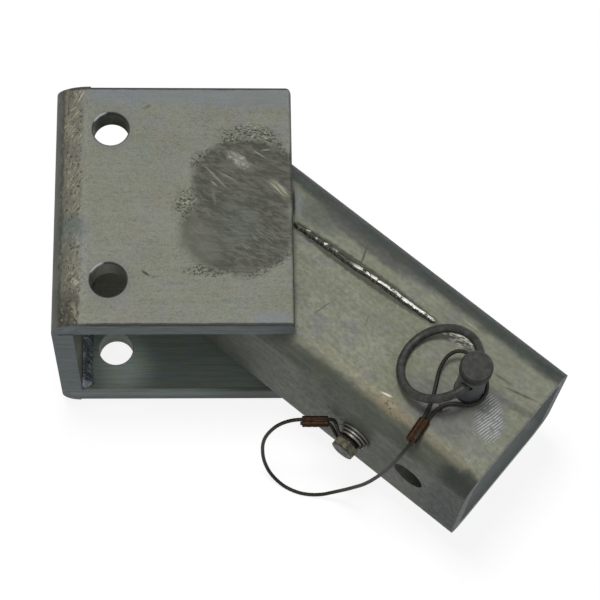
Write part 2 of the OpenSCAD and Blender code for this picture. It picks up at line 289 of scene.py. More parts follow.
def rolled_zinc(tree: Tree, at: Socket) -> tuple[Socket, Socket, Socket]:
    """Weathered zinc over rolled plate: what all the bracket's faces start from.

    Olive grey in clouds of 20 to 30 mm, tinted lilac and brown in places, with streaks 1 mm
    wide along the rolling. Real grain is finer than a pixel, so it is drawn 0.6 mm across.

    Args:
        tree: The material's node tree.
        at: Place in the bracket's square, in mm.

    Returns:
        Colour, streaks and grain.
    """
    streak = clouds(tree, at, (26, 1.0, 1.2), 0.3, 0.7, detail=4)
    grain = clouds(tree, at, (0.75, 0.55, 0.6), 0.28, 0.72, detail=2)
    colour = paint(tree, "76786a", [
        ("808277", 0.9, clouds(tree, at, (26, 20, 26), 0.35, 0.65)),
        ("7b7a83", 0.55, clouds(tree, at, (15, 22, 15), 0.50, 0.68, turn=20)),
        ("80776a", 0.50, clouds(tree, at, (19, 12, 15), 0.54, 0.70, turn=-30)),
        ("6c7a78", 0.40, clouds(tree, at, (12, 17, 15), 0.56, 0.70, turn=50)),
        ("63655a", 0.14, streak),
        ("5d6055", 0.50, clouds(tree, at, (2.6, 1.7, 2), 0.50, 0.66, detail=4)),
        ("9c9e8f", 0.50, grain)])
    return colour, streak, grain


def dressed_land(tree: Tree, at: Socket, colour: Socket) -> tuple[Socket, Socket, Socket]:
    """The corner weld's ground band, drawn over the plate and the weld alike.

    The band is brassy olive from 3.5 to 12.5 mm in from the left face, its inner border
    wandering by a millimetre; the disc's strokes cross it slanting, half a millimetre wide,
    over dark pits, a green stretch and gouges at its front end.

    Args:
        tree: The material's node tree.
        at: Place in the bracket's square, in mm.
        colour: Colour under it.

    Returns:
        Colour, strokes and pits.
    """
    loose = wander(tree, at, 3.5, 1.1)
    land = strip(tree, loose, "X", 3.6, 12.4, 0.7)
    outer = strip(tree, wander(tree, at, 9, 0.6), "X", -5, 3.8, 0.8)
    patchy = clouds(tree, at, (6, 13, 6), 0.40, 0.62)
    strokes = clouds(tree, at, (2.6, 0.42, 3), 0.50, 0.64, turn=58, detail=2)
    pits = clouds(tree, at, (1.3, 1.9, 1.4), 0.57, 0.66, detail=2)
    gouge = clouds(tree, loose, (1.6, 3.6, 2), 0.50, 0.60, turn=-18, detail=2)
    front = strip(tree, loose, "Y", -2, 11, 2.5)
    spots = [("c0bfa6", 0.70, (11.6, 112.6), (2.6, 0.35), 62), ("aaa78c", 0.6, (8.2, 106.6), (1.9, 0.4), 30),
             ("aaa78c", 0.5, (9.4, 103.6), (2.3, 0.4), 40), ("a8a483", 0.6, (5.2, 98.5), (1.4, 0.5), 25)]
    colour = paint(tree, colour, [
        ("68675a", 0.80, land),
        ("7b786a", 0.75, land, patchy),
        ("b3b09a", 0.80, land, patchy, strokes, strip(tree, loose, "X", 5.5, 13, 1)),
        ("96937f", 0.50, land, strokes),
        ("5d6a66", 0.60, spot(tree, loose, (8, 47), (7, 6.5), soft=0.4)),
        ("3c3c32", 0.80, land, pits),
        ("3f3d33", 0.70, land, strip(tree, loose, "Y", -2, 16, 4)),
        ("33322a", 0.75, land, front, gouge),
        ("9c987a", 0.60, land, front, clouds(tree, loose, (1.4, 4.2, 2), 0.56, 0.66, turn=24, detail=2)),
        ("5e5f58", 0.80, outer),
        ("4c524f", 0.50, outer, clouds(tree, at, (6, 14, 8), 0.45, 0.6)),
        ("34352f", 0.55, strip(tree, loose, "X", 3.1, 4.2, 0.5)),
        *((tone, share, spot(tree, at, centre, half, turn=turn, soft=0.5))
          for tone, share, centre, half, turn in spots)])
    return colour, add(tree, "Math", {0: strokes, 1: land}, operation="MULTIPLY"), pits


def sawn_faces_and_edge_shade(tree: Tree, at: Socket, colour: Socket) -> Socket:
    """The plates' edges: painted shade where they turn away, blue grey on the sawn faces below them.

    Args:
        tree: The material's node tree.
        at: Place in the bracket's square, in mm.
        colour: Colour under them.

    Returns:
        The colour socket.
    """
    loose = wander(tree, at, 6, 0.25)
    crown = strip(tree, at, "Z", 99.6, 104, 0.4)
    face = clouds(tree, at, (14, 3, 1.3), 0.40, 0.62, detail=4)
    return paint(tree, colour, [
        ("66757d", 0.70, strip(tree, loose, "Y", -3, 0.35, 0.2)),
        ("4d5150", 0.60, strip(tree, loose, "Y", -3, 0.35, 0.2), face),
        # Painted shade: dark lines along the top plate's edges where they round away.
        ("23262a", 0.80, strip(tree, loose, "X", PLATE[0] - 0.5, PLATE[0] + 3, 0.25), crown),
        ("23262a", 0.80, strip(tree, loose, "Y", PLATE[1] - 1.5, PLATE[1] + 3, 0.3), crown),
        ("2d312f", 0.75, strip(tree, loose, "Y", -0.1, 1.0, 0.3), crown)])


@dataclass(frozen=True)
class GalvanisedPlate(Finish):
    """Hot rolled plate, dipped in zinc and weathered: dull, faintly streaked, with a dark ground patch."""

    name: str = "Galvanised rolled plate, weathered, with a ground patch"
    patch: bool = True

    def layers(self, tree: Tree) -> tuple[object, object, object]:
        """Rolled zinc, bluer along the back edge, its bolt holes with a painted highlight on one side; without the
        patch, painted light near the front edge and painted shadow on the front face towards the tube.
        """
        at = place(tree, Square.BRACKET)
        colour, streak, grain = rolled_zinc(tree, at)
        back = strip(tree, wander(tree, at, 14, 2.5), "Y", 108, 125, 3)
        colour = paint(tree, colour, [("79868c", 0.45, back), ("7d7c86", 0.35, back, streak)])
        rough = add(tree, "MapRange", {0: streak, 3: 0.58, 4: 0.64})
        marks = [(0.03, grain)]
        if self.patch:
            colour, strokes = self.ground_patch(tree, at, colour)
            colour, land_strokes, pits = dressed_land(tree, at, colour)
            rough = add(tree, "Mix", {0: strokes, 2: rough, 3: 0.42})
            marks += [(0.025, strokes), (0.04, land_strokes)]
        colour = self.bolt_holes(tree, at, sawn_faces_and_edge_shade(tree, at, colour))
        if not self.patch:
            lit = weigh(tree, 1.0, (strip(tree, at, "Y", -1, 34, 10), strip(tree, at, "Z", 6, 14, 1)))
            fine = clouds(tree, at, (22, 0.8, 2), 0.42, 0.60, detail=3)
            # Painted light on the plate near its front edge, 6 to 14 mm up (the three lit coats), and painted shadow
            # on the front face towards the tube (the last coat).
            colour = paint(tree, colour, [("4a514c", 0.22, fine), ("98a89f", 0.62, lit), ("626c66", 0.28, lit, fine),
                ("8593a8", 0.45, lit, clouds(tree, at, (9, 3, 5), 0.52, 0.66)),
                ("343a33", 0.75, strip(tree, at, "Y", -3, 1.5, 0.5), strip(tree, at, "X", 74, 112, 16),
                 strip(tree, at, "Z", -5, 14, 1))])
        return colour, rough, relief(tree, marks)

    def bolt_holes(self, tree: Tree, at: Socket, colour: Socket) -> Socket:
        """Rims of the two bolt holes: a painted highlight on the back left, and painted shade round the rest of the
        rim that shows as a dark line on the front right.
        """
        high = strip(tree, at, "Z", PLATE_TOP - 1.5, PLATE_TOP + 2, 0.2)
        coats: list[tuple] = []
        for x, y in ((BOLT_INSET[0], BOLT_INSET[1]), (BOLT_INSET[0], PLATE[1] - BOLT_INSET[1])):
            rim = spot(tree, at, (x, y), (8.75, 8.75), soft=0.012)
            halo = spot(tree, at, (x, y), (10.4, 10.4), soft=0.2)
            painted_rim_highlight = spot(tree, wander(tree, at, 2.5, 0.5), (x - 5.6, y + 6.2), (3.8, 1.3), turn=38, soft=0.4)
            # Painted shade on each hole's rim, and a painted highlight on the back left where its broken edge catches
            # the light.
            coats += [("6b6b70", 0.30, halo, high), ("2a2b28", 0.75, rim, high),
                      ("c5ccd0", 0.92, rim, high, painted_rim_highlight)]
        return paint(tree, colour, coats)

    def ground_patch(self, tree: Tree, at: Socket, colour: Socket) -> tuple[Socket, Socket]:
        """The grinder's dark patch on the top plate, its peppered rims, a painted glint over its burnish, strokes and
        nicks.

        Two ragged ovals make the patch. Pepper is noise 0.8 mm across, cut to dark and bright
        dots, over two bands beside it. Strokes run slanting towards the front right.

        Args:
            tree: The material's node tree.
            at: Place in the bracket's square, in mm.
            colour: Colour under it.

        Returns:
            Colour and strokes.
        """
        loose = wander(tree, at, 5, 1.4)
        upper = spot(tree, loose, (87, 70), (24.5, 20.5), soft=0.10)
        lower = spot(tree, loose, (83, 44.5), (26, 20), soft=0.12)
        patch = add(tree, "Math", {0: upper, 1: lower}, operation="MAXIMUM")
        faded = spot(tree, loose, (63, 38), (12, 14), soft=0.5)
        pepper_dark = clouds(tree, at, (1.25, 0.95, 1.1), 0.49, 0.57, detail=1)
        pepper_pale = clouds(tree, at, (1.3, 0.9, 1.1), 0.41, 0.33, detail=1)
        bands = [spot(tree, loose, (88, 90.5), (14, 7.5), soft=0.25),
                 spot(tree, loose, (63.5, 57), (8.5, 10), soft=0.3),
                 spot(tree, loose, (68, 80), (6, 5), turn=40, soft=0.4),
                 spot(tree, loose, (70, 26), (12, 2.6), soft=0.4),
                 spot(tree, loose, (96, 29), (12, 3), turn=28, soft=0.4),
                 spot(tree, loose, (104, 83), (7, 3), turn=-55, soft=0.4)]
        pepper = bands[0]
        for more in bands[1:]:
            pepper = add(tree, "Math", {0: pepper, 1: more}, operation="MAXIMUM")
        mottle = clouds(tree, at, (9, 4, 6), 0.42, 0.58, turn=-25, detail=5)
        level = clouds(tree, at, (16, 0.8, 3), 0.42, 0.66, detail=3)
        strokes = clouds(tree, at, (7, 0.6, 6), 0.53, 0.66, turn=-42, detail=3)
        swirl = clouds(tree, at, (5, 0.7, 6), 0.52, 0.66, turn=-20, detail=3)
        slant = spot(tree, loose, (94, 46), (11, 10), soft=0.6)
        ground = paint(tree, "3e3f35", [
            ("65645e", 0.85, mottle),
            ("5b6a62", 0.35, spot(tree, loose, (83, 48), (8, 9), soft=0.6)),
            ("393a31", 0.55, level),
            ("35362d", 0.60, clouds(tree, at, (4.5, 1.6, 3), 0.50, 0.66, turn=-20, detail=4)),
            ("6d6e60", 0.45, clouds(tree, at, (3.2, 1.0, 3), 0.54, 0.68, turn=-30, detail=4)),
            ("777868", 0.30, swirl),
            ("7f8072", 0.45, strokes, slant),
            ("66675a", 0.55, faded)])
        glint = spot(tree, loose, (83.6, 80.6), (5.0, 2.6), turn=-32, soft=0.6)
        fleck = clouds(tree, at, (2.2, 0.45, 2), 0.47, 0.62, turn=-32, detail=2)
        slash = spot(tree, at, (102, 66), (5.6, 2.1), turn=-46, soft=0.5)
        fine = clouds(tree, at, (9, 0.42, 6), 0.44, 0.54, turn=-46, detail=1)
        lines = [("8c8d7c", 0.60, (72.6, 72.6), (6.2, 0.45), -47), ("858676", 0.5, (74.8, 69.6), (4.6, 0.4), -44),
                 ("9a9b89", 0.6, (72.4, 68.6), (1.9, 0.5), -40), ("8e8f7e", 0.5, (78.5, 72), (5, 0.5), -30),
                 ("9c9d8a", 0.6, (93, 83.4), (3.6, 0.35), -36), ("a3a491", 0.6, (96.2, 85.4), (2.0, 0.35), 5),
                 ("7c7d70", 0.40, (72.4, 61.5), (0.7, 3.0), 12)]
        colour = paint(tree, colour, [
            ("5e5f51", 0.30, pepper),
            ("33342a", 0.85, pepper, pepper_dark),
            ("a7a891", 0.75, pepper, pepper_pale),
            (ground, 0.93, patch),
            # Painted highlight: a glint on the ground patch, with bright flecks in it.
            ("85867c", 0.60, glint),
            ("c4c5b8", 0.80, glint, fleck),
            ("5f6056", 0.50, slash),
            ("a6a78f", 0.80, slash, fine),
            *((tone, share, spot(tree, at, centre, half, turn=turn, soft=0.5))
              for tone, share, centre, half, turn in lines),
            ("2b2c26", 0.85, spot(tree, at, (41.9, 24.7), (2.0, 0.6), turn=-35, soft=0.5)),
            ("5c5e57", 0.45, spot(tree, at, (45.6, 23), (1.4, 0.5), turn=20, soft=0.6)),
            ("66717c", 0.45, spot(tree, wander(tree, at, 4, 0.5), (54, 19.6), (6, 0.5), turn=-3, soft=0.8)),
            ("4f504a", 0.55, spot(tree, at, (41.8, 107.1), (1.7, 0.8), turn=30, soft=0.6)),
            ("7e868e", 0.60, spot(tree, loose, (98.5, 3.0), (8.5, 3.2), soft=0.4))])
        return colour, add(tree, "Math", {0: strokes, 1: patch}, operation="MULTIPLY")


@dataclass(frozen=True)
class GroundWeld(Finish):
    """Weld metal dressed with a grinder: smooth, brassy tint, crossed by bright strokes and pits."""

    name: str = "Ground weld metal, galvanised"
    metallic: float = 0.30

    def layers(self, tree: Tree) -> tuple[object, object, object]:
        """The plate's zinc with the ground band over it, so that their border stays ragged."""
        at = place(tree, Square.BRACKET)
        colour, streak, grain = rolled_zinc(tree, at)
        colour, strokes, pits = dressed_land(tree, at, colour)
        colour = sawn_faces_and_edge_shade(tree, at, colour)
        rough = add(tree, "MapRange", {0: strokes, 3: 0.58, 4: 0.38})
        return colour, rough, relief(tree, [(0.04, strokes), (-0.12, pits), (0.02, grain)])


@dataclass(frozen=True)
class WeldBead(Finish):
    """Weld bead as laid, zinc over it: uneven, bluish where it was hottest."""

    name: str = "Weld bead as laid, galvanised"
    metallic: float = 0.45

    def layers(self, tree: Tree) -> tuple[object, object, object]:
        """Blue grey and grey in patches of a few millimetres, with fine spatter."""
        at = place(tree, Square.PART)
        fine = clouds(tree, at, (0.8, 0.8, 0.8), 0.38, 0.66)
        colour = paint(tree, "4a4f50", [
            ("8595ab", 0.85, clouds(tree, at, (4, 4, 4), 0.44, 0.60)),
            ("c3cbd0", 0.45, fine)])
        rough = add(tree, "MapRange", {0: fine, 3: 0.5, 4: 0.34})
        return colour, rough, relief(tree, [(0.05, fine)])


@dataclass(frozen=True)
class SeamBead(Finish):
    """The seam's bead: a painted highlight along its crest, its flanks painted dark as scale and shade."""

    name: str = "Seam weld bead, painted highlight on its crest"
    metallic: float = 0.5

    def layers(self, tree: Tree) -> tuple[object, object, object]:
        """A painted highlight as a bright broken line off the middle, between dark flanks of painted shade and scale,
        brightest by the ring.
        """
        at = place(tree, Square.TUBE)
        across = add(tree, "Attribute", output="Fac", attribute_name="across")
        along = add(tree, "Attribute", output="Fac", attribute_name="along")
        laid = add(tree, "CombineXYZ", {0: along, 1: across})
        crest = strip(tree, wander(tree, laid, 4, 0.22), "Y", -0.70, 0.12, 0.20)
        strong = strip(tree, laid, "X", 62, 104, 5)
        broken = clouds(tree, laid, (3.4, 1.4, 2), 0.36, 0.50, detail=2)
        beads = clouds(tree, laid, (2.2, 1.2, 2), 0.56, 0.64, detail=2)
        dark = clouds(tree, at, (1.5, 1.2, 2), 0.42, 0.60)
        # Painted highlight on the crest.
        shine = add(tree, "Math", {0: weigh(tree, 1.0, (crest, strong, broken)),
                                   1: weigh(tree, 0.8, (crest, beads))}, operation="MAXIMUM")
        colour = paint(tree, "4a4b40", [
            # Painted shade and scale on the two flanks.
            ("1c1d15", 0.95, strip(tree, laid, "Y", 0.12, 2, 0.2)),
            ("2e2f26", 0.75, strip(tree, laid, "Y", -2, -0.62, 0.15)),
            ("30312a", 0.45, dark),
            ("8d8e7c", 0.45, clouds(tree, at, (1.0, 0.8, 1), 0.56, 0.66)),
            ("f6f4ea", 1.0, shine)])
        rough = add(tree, "MapRange", {0: shine, 3: 0.5, 4: 0.28})
        return colour, rough, relief(tree, [(0.07, dark)])


@dataclass(frozen=True)
class GalvanisedTube(Finish):
    """Square steel tube, dipped in zinc: mottled top, drawn streaks on its sides, grinder's strokes."""

    name: str = "Galvanised steel tube, scuffed and ground near its end"

    def layers(self, tree: Tree) -> tuple[object, object, object]:
        """Mottled olive zinc, painted shade where the corners turn away and a painted highlight where the near one
        starts to round, strokes by the pin, a sooty seam, painted light inside the mouth.
        """
        at = place(tree, Square.TUBE)
        loose = wander(tree, at, 6, 1.0)
        mottle = clouds(tree, at, (2.0, 1.5, 2), 0.34, 0.66, detail=4)
        streak = clouds(tree, at, (30, 1.4, 1.4), 0.36, 0.68, detail=4)
        top = strip(tree, at, "Z", TUBE_TOP - 0.6, TUBE_TOP + 5, 0.3)
        outside = strip(tree, wander(tree, at, 7, 0.9), "Z", -5, TUBE_TOP - 1.6, 1.0)
        # Painted shade on the far corner's rounding, where it turns away from the light.
        far = weigh(tree, 1.0, (strip(tree, wander(tree, at, 5, 1.1), "Y", -60, -27.4, 2.3),
                                strip(tree, at, "Z", 76, 95, 4)))
        near_rim = strip(tree, loose, "Y", 25, 32, 2)
        colour = paint(tree, "7d7f6b", [
            ("898b7c", 0.9, clouds(tree, at, (22, 14, 20), 0.36, 0.64)),
            ("74737a", 0.55, clouds(tree, at, (14, 10, 12), 0.52, 0.68, turn=30)),
            ("6d6f60", 0.34, mottle),
            ("999b8c", 0.20, streak),
            ("686869", 0.72, spot(tree, loose, (33, 16), (17, 11), turn=-8, soft=0.5)),
            # Painted highlight along the near corner where its rounding starts.
            ("8c8870", 0.45, near_rim, strip(tree, loose, "X", 20, 96, 8)),
            ("6b6248", 0.35, strip(tree, loose, "Y", 27.5, 33, 2), strip(tree, loose, "X", -4, 60, 9)),
            # Painted shade, in patches, on the near corner's rounding.
            ("453f32", 0.62, strip(tree, loose, "Y", 31.5, 35.5, 1.8), clouds(tree, at, (16, 4, 8), 0.42, 0.58)),
            ("4d534b", 0.80, outside, clouds(tree, at, (9, 6, 7), 0.30, 0.62, detail=4)),
            ("565a50", 0.60, outside),
            ("6e7570", 0.40, outside, clouds(tree, at, (20, 2.2, 2.2), 0.50, 0.66, detail=4)),
            ("565b55", 0.70, spot(tree, loose, (133, -22), (12, 6), soft=0.5)),
            ("2a2f2e", 0.75, outside, strip(tree, loose, "X", -4, 16, 4)),
            ("1f2424", 0.50, outside, strip(tree, loose, "X", -4, 24, 6), strip(tree, loose, "Z", -5, 60, 9)),
            ("4c4c4a", 0.78, spot(tree, loose, (106, -25.6), (25, 3.4), soft=0.45)),
            ("3d433f", 0.86, far),
            ("575d5c", 0.35, far, clouds(tree, at, (18, 2, 2.4), 0.46, 0.64, detail=3))])
        colour = self.marks(tree, at, loose, top, colour)
        scored = self.strokes(tree, at)
        near = spot(tree, loose, (15, 3), (12, 8), turn=130, soft=0.4)
        colour = paint(tree, colour, [("77797e", 0.40, near, top), ("c3c6cf", 0.90, scored, top),
                                      ("505356", 0.40, strip(tree, at, "X", -2, 0.5, 0.3)),
                                      # Painted light: the inside of the tube near its mouth, painted pale as if lit.
                                      ("c4cccc", 1.0, strip(tree, at, "Y", -31.9, 31.9, 0.2),
                                       strip(tree, at, "Z", 12, 82.5, 0.3), strip(tree, at, "X", 0.5, 30, 8))])
        rough = add(tree, "MapRange", {0: mottle, 3: 0.52, 4: 0.66})
        return colour, rough, relief(tree, [(0.02, mottle), (-0.03, scored, top)])

    def strokes(self, tree: Tree, at: Socket) -> Socket:
        """Chatter of the grinder by the pin: lines 1.2 mm apart, broken along their length.

        Args:
            tree: The material's node tree.
            at: Place in the tube's square, in mm.

        Returns:
            Where the lines are, from 0 to 1.
        """
        bent = wander(tree, at, 8, 0.35)
        laid = add(tree, "Mapping", {0: bent, "Rotation": (0, 0, math.radians(77))},
                   vector_type="TEXTURE")
        wave = add(tree, "TexWave", {"Vector": laid, "Scale": 0.262, "Distortion": 0.6, "Detail": 1.0},
                   output="Fac", wave_type="BANDS", bands_direction="Y", wave_profile="SIN")
        line = add(tree, "MapRange", {0: wave, 1: 0.55, 2: 0.95}, interpolation_type="SMOOTHSTEP")
        zone = spot(tree, bent, (13.8, 5.2), (9.8, 6.0), turn=130, soft=0.35)
        high = spot(tree, bent, (20.6, -2.4), (3.4, 2.6), turn=10, soft=0.4)
        place_in = add(tree, "Math", {0: zone, 1: high}, operation="MAXIMUM")
        return weigh(tree, 1.0, (line, place_in, clouds(tree, at, (3.4, 2.4, 3), 0.34, 0.52)))

    def marks(self, tree: Tree, at: Socket, loose: Socket, top: Socket, colour: Socket) -> Socket:
        """Soot along the seam, its faint trace to the open end, painted highlights on that trace under the ring, pits,
        scratches, painted shade where the rope lies on the tube, and the plate's painted shadow line with a painted
        bluish reflection beside it.
        """
        toe = spot(tree, wander(tree, at, 2.2, 0.35), (101, -13.2), (43, 3.7), turn=2.8, soft=0.18)
        trace = spot(tree, wander(tree, at, 3, 0.6), (6.5, -7), (12, 1.7), turn=8, soft=0.5)
        pits = clouds(tree, at, (1.2, 1.2, 1.2), 0.60, 0.68, detail=1)
        rust = spot(tree, loose, (50, 28.5), (9, 3.4), turn=-6, soft=0.5)
        coats = [
            ("33342a", 0.80, toe, top),
            ("484942", 0.50, toe, top, clouds(tree, at, (1.6, 1.1, 1), 0.45, 0.6)),
            ("4b4c46", 0.55, trace, top),
            ("94846a", 0.45, rust), ("3a2f1f", 0.70, rust, pits),
            ("e4e2d2", 0.85, spot(tree, at, (55.4, 25.4), (2.4, 0.45), turn=14, soft=0.5)),
            # Painted highlights where the seam's trace runs under the ring.
            ("f4f3e8", 1.0, spot(tree, loose, (46.5, -16.4), (8.5, 2.4), turn=9, soft=0.4), top,
             clouds(tree, at, (2.4, 0.9, 2), 0.46, 0.58, turn=18, detail=2)),
            ("ecebdf", 0.90, spot(tree, at, (54.4, -14.0), (1.6, 0.55), turn=12, soft=0.5), top),
            ("33342a", 0.75, spot(tree, loose, (33, 15.6), (3.4, 3.0), soft=0.4), top, pits)]
        # Marks one by one: the first three are painted shade where the rope lies on the tube, the next two the plate's
        # painted shadow line with a painted bluish reflection beside it, the rest scratches and marks on the zinc.
        for tone, share, centre, half, turn in (
                ("22231c", 0.80, (32.7, 16.1), (1.7, 0.9), 30), ("2b2c24", 0.70, (35.0, 13.6), (1.1, 0.7), -20),
                ("2b2c24", 0.65, (30.4, 13.9), (1.6, 0.5), 60), ("7f858b", 0.60, (144.0, -20.9), (6.5, 1.4), -49.5),
                ("1a1e22", 0.90, (145.9, -19.4), (6.5, 0.7), -49.5),
                ("3a3b33", 0.55, (20.7, -13.8), (4.8, 0.6), 4), ("3a3b33", 0.60, (10.2, -13.2), (7.2, 0.6), 14.5),
                ("3a3b33", 0.75, (105, -20.1), (4.6, 0.45), -69), ("4f5047", 0.65, (106.4, -24.0), (1.2, 1.2), 0),
                ("4d4e45", 0.60, (103.3, 12.2), (4.6, 0.35), 77), ("5a5b50", 0.45, (84, 4), (0.4, 3.0), 20),
                ("a9aa98", 0.55, (47, -25.0), (3.5, 0.35), 3), ("5a5c52", 0.45, (66, 10), (3.4, 0.3), 35)):
            coats.append((tone, share, spot(tree, at, centre, half, turn=turn, soft=0.5), top))
        return paint(tree, colour, coats)


@dataclass(frozen=True)
class PlatedSteel(Finish):
    """Small zinc plated fastener: grey with a warm tarnish in patches."""

    name: str = "Zinc plated steel, tarnished"
    metallic: float = 0.5
    colour: str = "77746a"
    tarnish: str = "4e4a3f"
    size: float = 2.5

    def layers(self, tree: Tree) -> tuple[object, object, object]:
        """Two tones in patches, fine scuffs, painted highlights along the washer rims, joints and the bolt's end dark.
        """
        at = place(tree, Square.PART)
        cloud = clouds(tree, at, (self.size,) * 3, 0.38, 0.62, detail=4)
        fine = clouds(tree, at, (0.5, 0.5, 0.5), 0.35, 0.7, detail=2)
        # Painted highlight: a bright line round the middle of each washer's rim.
        rims = [("c4c3bd", 0.75, strip(tree, at, "Y", (a + b) / 2 - 0.2, (a + b) / 2 + 0.2, 0.15))
                for a, b in zip(WASHER_FACES, WASHER_FACES[1:])]
        joints = [("171613", 0.85, strip(tree, at, "Y", y - 0.14, y + 0.14, 0.12)) for y in WASHER_FACES]
        colour = paint(tree, self.tarnish, [(self.colour, 1.0, cloud), ("a5a295", 0.25, fine), *rims, *joints,
                                            ("0a0a0b", 0.95, strip(tree, at, "Y", HEAD_END - 2, HEAD_END + 0.3, 0.2))])
        rough = add(tree, "MapRange", {0: cloud, 3: 0.5, 4: 0.34})
        return colour, rough, relief(tree, [(0.02, fine)])


@dataclass(frozen=True)
class DarkSteel(Finish):
    """Pin and ring: turned or drawn steel gone dark brown grey, rubbed on its high places."""

    name: str = "Dark oxidised steel, rubbed"
    metallic: float = 0.35
    colour: str = "2e2f29"
    rubbed: str = "464840"
    streaks: str = "565b61"
    grain: tuple[float, float, float] = (1.5, 1.5, 0.25)
    shank: str | None = None

    def layers(self, tree: Tree) -> tuple[object, object, object]:
        """Brown grey with rubbed streaks along the grain's long side."""
        at = place(tree, Square.PART)
        cloud = clouds(tree, at, (5, 5, 5), 0.38, 0.66, detail=4)
        fine = clouds(tree, at, (0.4, 0.4, 0.4), 0.3, 0.75, detail=1)
        colour = paint(tree, self.colour, [
            (self.rubbed, 0.7, cloud),
            (self.streaks, 0.4, clouds(tree, at, self.grain, 0.48, 0.66, detail=2)),
            ("1f1f1b", 0.25, fine)])
        if self.shank:
            colour = paint(tree, colour, [(self.shank, 0.75, strip(tree, at, "Z", -5, 114.4, 0.3))])
        rough = add(tree, "MapRange", {0: cloud, 3: 0.52, 4: 0.38})
        return colour, rough, relief(tree, [(0.015, fine)])


@dataclass(frozen=True)
class Copper(Finish):
    """Crimped copper sleeve, browned by handling, redder where the press closed it."""

    name: str = "Crimped copper sleeve, browned"
    metallic: float = 0.35
    specular: float = 0.12

    def layers(self, tree: Tree) -> tuple[object, object, object]:
        """Red brown with dark tarnish in patches, rubbed lines along the press marks."""
        at = place(tree, Square.PART)
        ridge = add(tree, "Attribute", output="Fac", attribute_name="ridge")
        fine = clouds(tree, at, (0.5, 0.5, 0.5), 0.35, 0.7, detail=2)
        colour = paint(tree, "1b120b", [
            ("33200f", 0.9, clouds(tree, at, (3.2, 3.2, 2), 0.38, 0.62, detail=4)),
            ("5c3b22", 0.65, ridge),
            ("463020", 0.25, fine)])
        rough = add(tree, "MapRange", {0: fine, 3: 0.55, 4: 0.42})
        return colour, rough, relief(tree, [(0.03, fine)])


@dataclass(frozen=True)
class WireRope(Finish):
    """Twisted steel wires, stained brown: each strand with a painted highlight on its crown and painted shade, near
    black, in the grooves.
    """

    name: str = "Twisted wire rope, stained"
    metallic: float = 0.35

    def layers(self, tree: Tree) -> tuple[object, object, object]:
        """Painted highlight on the crown and painted shade in the groove, from the strand attribute, over a slow brown
        stain.
        """
        crown = add(tree, "Attribute", output="Fac", attribute_name="crown")
        at = place(tree, Square.PART)
        stain = clouds(tree, at, (9, 9, 9), 0.4, 0.62)
        # Crowns painted lighter as a highlight, grooves painted near black as shade.
        colour = paint(tree, "0c0a07", [("2c251c", 0.95, crown), ("302f2b", 0.6, crown, stain)])
        return colour, 0.48, relief(tree, [(0.03, crown)])


def shell(name: str, points: np.ndarray, marks: dict[str, np.ndarray] | None = None) -> bpy.types.Object:
    """Makes a tube-like mesh from rings of points, each ring closed on itself.

    Ring i and ring i+1 are joined by quads in index arithmetic on whole arrays, and each
    end gets a middle point and a fan.

    Args:
        name: The piece's name.
        points: Array of rings by points by 3, in metres.
        marks: Numbers kept on the points, each an array of rings by points.

    Returns:
        The piece, linked to the scene, smooth shaded.
    """
    rings, sides = points.shape[:2]
    i, k = np.meshgrid(np.arange(rings - 1), np.arange(sides), indexing="ij")
    nxt = (k + 1) % sides
    quads = np.stack([i * sides + k, i * sides + nxt, (i + 1) * sides + nxt, (i + 1) * sides + k],
                     axis=-1).reshape(-1, 4)
    verts = points.reshape(-1, 3)
    count = len(verts)
    verts = np.vstack([verts, points[0].mean(0), points[-1].mean(0)])
    around = np.arange(sides)
    after = (around + 1) % sides
    low = np.stack([after, around, np.full(sides, count)], axis=-1)
    top = (rings - 1) * sides
    high = np.stack([top + around, top + after, np.full(sides, count + 1)], axis=-1)
    mesh = bpy.data.meshes.new(name)
    mesh.from_pydata(verts.tolist(), [], quads.tolist() + low.tolist() + high.tolist())
    mesh.polygons.foreach_set("use_smooth", np.ones(len(mesh.polygons), bool))
    for key, value in (marks or {}).items():
        ends = [value[0].mean(), value[-1].mean()]
        layer = mesh.attributes.new(key, "FLOAT", "POINT")
        layer.data.foreach_set("value", np.append(value.ravel(), ends).astype(np.float32))
    mesh.update()
    piece = bpy.data.objects.new(name, mesh)
    bpy.context.scene.collection.objects.link(piece)
    return piece


def smooth_path(points: np.ndarray, step: float) -> np.ndarray:
    """Carries a smooth line through points: a cubic between each two, its slopes taken from neighbours.

    Args:
        points: Array of points by 3.
        step: Spacing of the new points.

    Returns:
        Points evenly spaced along the line.
    """
    reach = np.linalg.norm(np.diff(points, axis=0), axis=1)
    knot = np.concatenate([[0], np.cumsum(reach)])
    before = np.vstack([2 * points[0] - points[1], points[:-1]])
    after = np.vstack([points[1:], 2 * points[-1] - points[-2]])
    gap_b = np.concatenate([[reach[0]], reach])[:, None]
    gap_a = np.concatenate([reach, [reach[-1]]])[:, None]
    slope = ((points - before) / gap_b * gap_a + (after - points) / gap_a * gap_b) / (gap_a + gap_b)
    fine = np.linspace(0, knot[-1], int(knot[-1] / step * 4))
    cell = np.clip(np.searchsorted(knot, fine, side="right") - 1, 0, len(reach) - 1)
    t = ((fine - knot[cell]) / reach[cell])[:, None]
    h = reach[cell][:, None]
    line = ((2 * t**3 - 3 * t**2 + 1) * points[cell] + (t**3 - 2 * t**2 + t) * h * slope[cell]
            + (3 * t**2 - 2 * t**3) * points[cell + 1] + (t**3 - t**2) * h * slope[cell + 1])
    run = np.concatenate([[0], np.cumsum(np.linalg.norm(np.diff(line, axis=0), axis=1))])
    even = np.linspace(0, run[-1], int(run[-1] / step) + 1)
    return np.stack([np.interp(even, run, line[:, a]) for a in range(3)], axis=-1)


